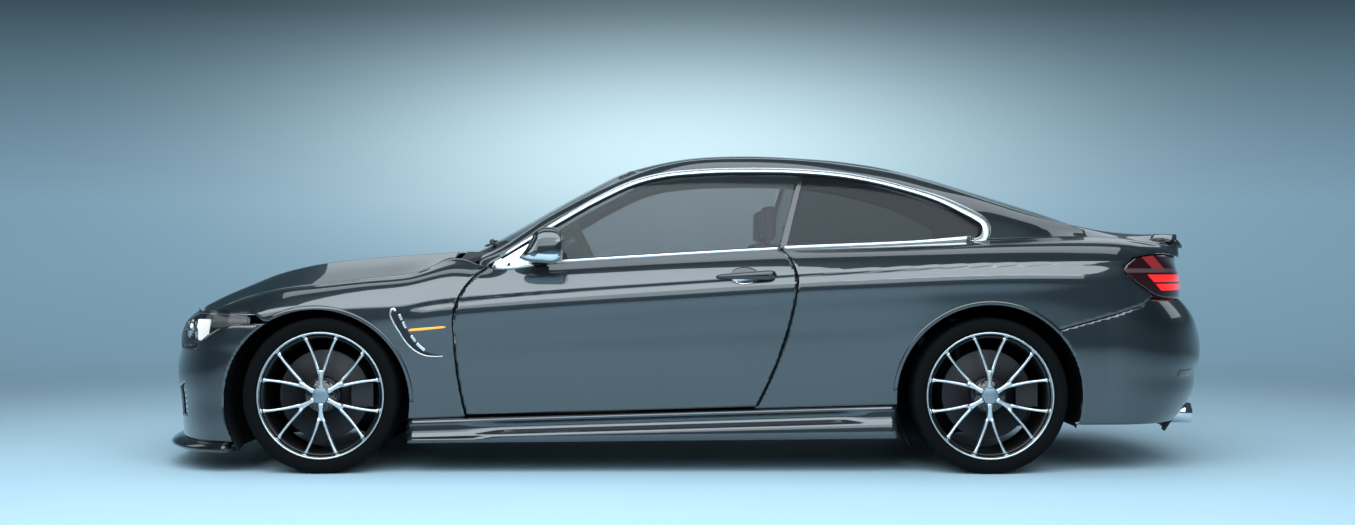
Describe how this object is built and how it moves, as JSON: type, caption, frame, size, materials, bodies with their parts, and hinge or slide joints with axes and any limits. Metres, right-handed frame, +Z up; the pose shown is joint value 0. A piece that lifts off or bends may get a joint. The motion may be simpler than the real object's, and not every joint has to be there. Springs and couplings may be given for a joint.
{
  "type": "two-door coupe car",
  "caption": "Two-door four-seat coupe with a long bonnet, swept roof, short boot, split-spoke alloy wheels and opening doors, bonnet and boot lid.",
  "frame": {"origin": "on the ground under the middle of the car's overall length and width", "axes": "+Z up, the nose faces -X, the car's left side faces -Y"},
  "size_m": [4.676, 2.012, 1.3808],
  "materials": {
    "paint": "dark metallic grey paint",
    "glass": "tinted glass",
    "tyre": "plain black tyre rubber",
    "rim": "silver painted alloy",
    "lamp_lens": "clear lamp lens",
    "red_lens": "red lamp lens",
    "black_plastic": "grained black plastic",
    "upholstery": "dark leather",
    "inner_steel": "satin dark inner panels",
    "chassis_steel": "dark cast and pressed steel"
  },
  "bodies": {
    "body": {"dashboard": "black_plastic", "engine_block": "chassis_steel", "exhaust": "chassis_steel", "firewall": "inner_steel", "floor_pan": "inner_steel", "front_axle": "chassis_steel", "front_bumper": "paint", "front_seat_left": "upholstery", "front_seat_right": "upholstery", "front_wing_left": "paint", "front_wing_right": "paint", "grille": "black_plastic", "headlamp_left": "lamp_lens", "headlamp_right": "lamp_lens", "quarter_glass_left": "glass", "quarter_glass_right": "glass", "rear_axle": "chassis_steel", "rear_bulkhead": "inner_steel", "rear_bumper": "paint", "rear_diffuser": "black_plastic", "rear_quarter_left": "paint", "rear_quarter_right": "paint", "rear_seat": "upholstery", "rear_window": "glass", "roof_panel": "paint", "side_frame_left": "paint", "side_frame_right": "paint", "sill_left": "paint", "sill_right": "paint", "splitter": "black_plastic", "tail_lamp_left": "red_lens", "tail_lamp_right": "red_lens", "windscreen": "glass"},
    "door_left": {"door_left": "paint", "door_glass_left": "glass", "mirror_left": "paint"},
    "knuckle_left": {"knuckle_left": "chassis_steel"},
    "wheel_front_left": {"rim_front_left": "rim", "tyre_front_left": "tyre"},
    "wheel_rear_left": {"rim_rear_left": "rim", "tyre_rear_left": "tyre"},
    "door_right": {"door_right": "paint", "door_glass_right": "glass", "mirror_right": "paint"},
    "knuckle_right": {"knuckle_right": "chassis_steel"},
    "wheel_front_right": {"rim_front_right": "rim", "tyre_front_right": "tyre"},
    "wheel_rear_right": {"rim_rear_right": "rim", "tyre_rear_right": "tyre"},
    "bonnet": {"bonnet": "paint"},
    "boot_lid": {"boot_lid": "paint"},
    "steering_wheel": {"steering_wheel": "black_plastic"}
  },
  "joints": [
    {"name": "steer_left", "type": "hinge", "parent": "body", "child": "knuckle_left", "pos_m": [-1.528, -0.726, 0.232], "axis": [0, 0.2648, 0.9643], "range_deg": [-32, 32]},
    {"name": "steer_right", "type": "hinge", "parent": "body", "child": "knuckle_right", "pos_m": [-1.528, 0.726, 0.232], "axis": [0, -0.2648, 0.9643], "range_deg": [-32, 32]},
    {"name": "spin_front_left", "type": "hinge", "parent": "knuckle_left", "child": "wheel_front_left", "pos_m": [-1.528, -0.785, 0.328], "axis": [0, 1, 0], "continuous": true},
    {"name": "spin_rear_left", "type": "hinge", "parent": "body", "child": "wheel_rear_left", "pos_m": [1.284, -0.785, 0.328], "axis": [0, 1, 0], "continuous": true},
    {"name": "spin_front_right", "type": "hinge", "parent": "knuckle_right", "child": "wheel_front_right", "pos_m": [-1.528, 0.785, 0.328], "axis": [0, 1, 0], "continuous": true},
    {"name": "spin_rear_right", "type": "hinge", "parent": "body", "child": "wheel_rear_right", "pos_m": [1.284, 0.785, 0.328], "axis": [0, 1, 0], "continuous": true},
    {"name": "steering_wheel_turn", "type": "hinge", "parent": "body", "child": "steering_wheel", "pos_m": [-0.422, -0.37, 0.905], "axis": [0.9061, 0, 0.4231], "range_deg": [-384, 384]},
    {"name": "door_left_hinge", "type": "hinge", "parent": "body", "child": "door_left", "pos_m": [-0.867, -0.878, 0.64], "axis": [0, 0, -1], "range_deg": [0, 63]},
    {"name": "door_right_hinge", "type": "hinge", "parent": "body", "child": "door_right", "pos_m": [-0.867, 0.878, 0.64], "axis": [0, 0, 1], "range_deg": [0, 63]},
    {"name": "bonnet_hinge", "type": "hinge", "parent": "body", "child": "bonnet", "pos_m": [-1.032, 0, 0.846], "axis": [0, 1, 0], "range_deg": [0, 50]},
    {"name": "boot_lid_hinge", "type": "hinge", "parent": "body", "child": "boot_lid", "pos_m": [1.604, 0, 0.99], "axis": [0, -1, 0], "range_deg": [0, 72]}
  ],
  "couplings": [
    {"joint": "steer_right", "follows": "steer_left", "ratio": 1},
    {"joint": "steering_wheel_turn", "follows": "steer_left", "ratio": 12}
  ]
}
